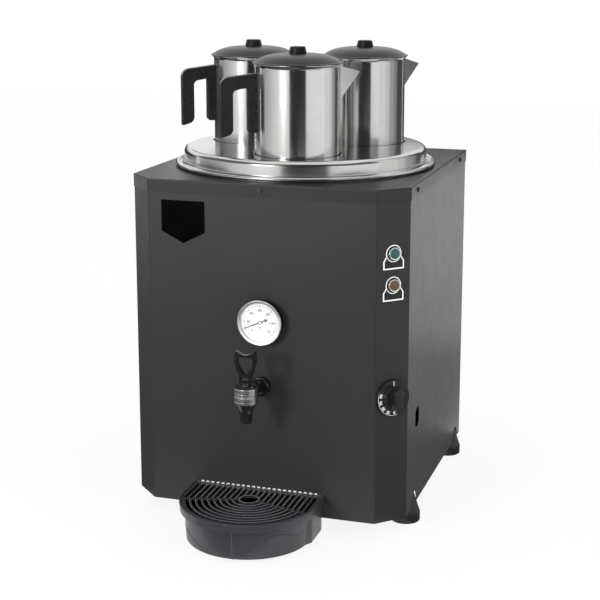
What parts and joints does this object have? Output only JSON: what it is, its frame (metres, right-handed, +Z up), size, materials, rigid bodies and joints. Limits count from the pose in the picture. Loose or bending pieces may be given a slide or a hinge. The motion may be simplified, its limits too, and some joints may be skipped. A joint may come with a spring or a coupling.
{
  "type": "hot water urn",
  "caption": "Electric tea boiler: cabinet with an insulated hot-water tank, dispensing tap, dial thermometer, thermostat and lamps, drip tray, and a stepped lid carrying teapots.",
  "frame": {"origin": "on the floor under the middle of the overall box", "axes": "+Z up, -Y out of the front panel with the tap, +X to the right as the user faces it"},
  "size_m": [0.459, 0.631, 0.735],
  "materials": {
    "front_paint": "dark grey satin powder coat",
    "side_paint": "mid grey satin powder coat",
    "cover_paint": "charcoal satin powder coat",
    "badge_plate": "gloss black",
    "feet": "moulded black",
    "zinc": "zinc-plated steel",
    "stainless": "circular brushed",
    "pot_steel": "fine vertical brushed",
    "lid_steel": "satin",
    "handle_black": "satin moulded",
    "jacket_foam": "rigid moulded foam",
    "element_steel": "drawn",
    "chrome": "bright plated",
    "brass": "turned",
    "dial_white": "printed dial",
    "needle_black": "matt",
    "gauge_glass": "clear",
    "tap_black": "satin moulded",
    "rubber": "silicone",
    "label_black": "printed film",
    "lamp_housing": "moulded",
    "lens_green": "translucent green, unlit",
    "lens_amber": "translucent amber, unlit",
    "knob_black": "satin moulded",
    "gland_black": "nylon",
    "tray_plastic": "textured dark grey",
    "grille_plastic": "textured dark grey"
  },
  "bodies": {
    "cabinet": {"back_panel": "front_paint", "badge_plate": "badge_plate", "base_plate": "front_paint", "cable_gland": "gland_black", "cover_screws": "cover_paint", "feet": "feet", "foot_bolts": "zinc", "front_panel": "front_paint", "gauge_bezel": "chrome", "gauge_case": "zinc", "gauge_dial": "dial_white", "gauge_glass": "gauge_glass", "gauge_stem": "brass", "gland_nut": "gland_black", "heater_nuts": "brass", "heating_element": "element_steel", "heating_lens": "lens_amber", "power_lens": "lens_green", "insulation_jacket": "jacket_foam", "lamp_bezels": "chrome", "lamp_bodies": "lamp_housing", "lamp_labels": "label_black", "lever_pin": "element_steel", "limit_thermostat": "zinc", "side_panel_left": "side_paint", "side_panel_right": "side_paint", "tank_posts": "zinc", "tank_shell": "stainless", "tap_back_nut": "brass", "tap_body": "tap_black", "tap_bonnet": "tap_black", "tap_nut": "tap_black", "tap_washer": "rubber", "terminal_block": "lamp_housing", "thermostat_body": "lamp_housing", "thermostat_bulb": "element_steel", "top_cover": "cover_paint"},
    "tank_lid": {"tank_lid": "stainless", "pot_seats": "stainless"},
    "gauge_needle": {"gauge_needle": "needle_black"},
    "tap_lever": {"tap_lever": "tap_black"},
    "valve": {"valve_stem": "element_steel", "valve_cup": "rubber", "valve_spring": "element_steel"},
    "knob": {"thermostat_knob": "knob_black", "thermostat_spindle": "element_steel"},
    "drip_tray": {"drip_tray": "tray_plastic"},
    "drip_grille": {"drip_grille": "grille_plastic"},
    "front_pot": {"front_pot_body": "pot_steel", "front_pot_handle": "handle_black"},
    "front_pot_lid": {"front_pot_lid": "lid_steel", "front_pot_knob": "handle_black"},
    "left_pot": {"left_pot_body": "pot_steel", "left_pot_handle": "handle_black"},
    "left_pot_lid": {"left_pot_lid": "lid_steel", "left_pot_knob": "handle_black"},
    "right_pot": {"right_pot_body": "pot_steel", "right_pot_handle": "handle_black"},
    "right_pot_lid": {"right_pot_lid": "lid_steel", "right_pot_knob": "handle_black"}
  },
  "joints": [
    {"name": "tank_lid_lift", "type": "slide", "parent": "cabinet", "child": "tank_lid", "axis": [0, 0, 1], "range_m": [0, 0.2]},
    {"name": "front_pot_lift", "type": "slide", "parent": "tank_lid", "child": "front_pot", "axis": [0, 0, 1], "range_m": [0, 0.15]},
    {"name": "front_pot_lid_lift", "type": "slide", "parent": "front_pot", "child": "front_pot_lid", "axis": [0, 0, 1], "range_m": [0, 0.08]},
    {"name": "left_pot_lift", "type": "slide", "parent": "tank_lid", "child": "left_pot", "axis": [0, 0, 1], "range_m": [0, 0.15]},
    {"name": "left_pot_lid_lift", "type": "slide", "parent": "left_pot", "child": "left_pot_lid", "axis": [0, 0, 1], "range_m": [0, 0.08]},
    {"name": "right_pot_lift", "type": "slide", "parent": "tank_lid", "child": "right_pot", "axis": [0, 0, 1], "range_m": [0, 0.15]},
    {"name": "right_pot_lid_lift", "type": "slide", "parent": "right_pot", "child": "right_pot_lid", "axis": [0, 0, 1], "range_m": [0, 0.08]},
    {"name": "needle_turn", "type": "hinge", "parent": "cabinet", "child": "gauge_needle", "pos_m": [0.0034, -0.1635, 0.3306], "axis": [0, -1, 0], "range_deg": [-246.5, 23.5]},
    {"name": "tap_lever_turn", "type": "hinge", "parent": "cabinet", "child": "tap_lever", "pos_m": [0, -0.2315, 0.255], "axis": [1, 0, 0], "range_deg": [0, 45]},
    {"name": "valve_lift", "type": "slide", "parent": "cabinet", "child": "valve", "axis": [0, 0, 1], "range_m": [0, 0.004], "stiffness_N_per_m": 250, "springref_m": -0.008, "deforming": ["valve_spring"]},
    {"name": "knob_turn", "type": "hinge", "parent": "cabinet", "child": "knob", "pos_m": [0.2, -0.1435, 0.223], "axis": [0.7071, -0.7071, 0], "range_deg": [-270, 0]},
    {"name": "tray_lift", "type": "slide", "parent": "cabinet", "child": "drip_tray", "axis": [0, 0, 1], "range_m": [0, 0.008]},
    {"name": "grille_lift", "type": "slide", "parent": "drip_tray", "child": "drip_grille", "axis": [0, 0, 1], "range_m": [0, 0.05]}
  ],
  "couplings": [
    {"joint": "tap_lever_turn", "follows": "valve_lift", "rad_per_m": 196.33}
  ]
}
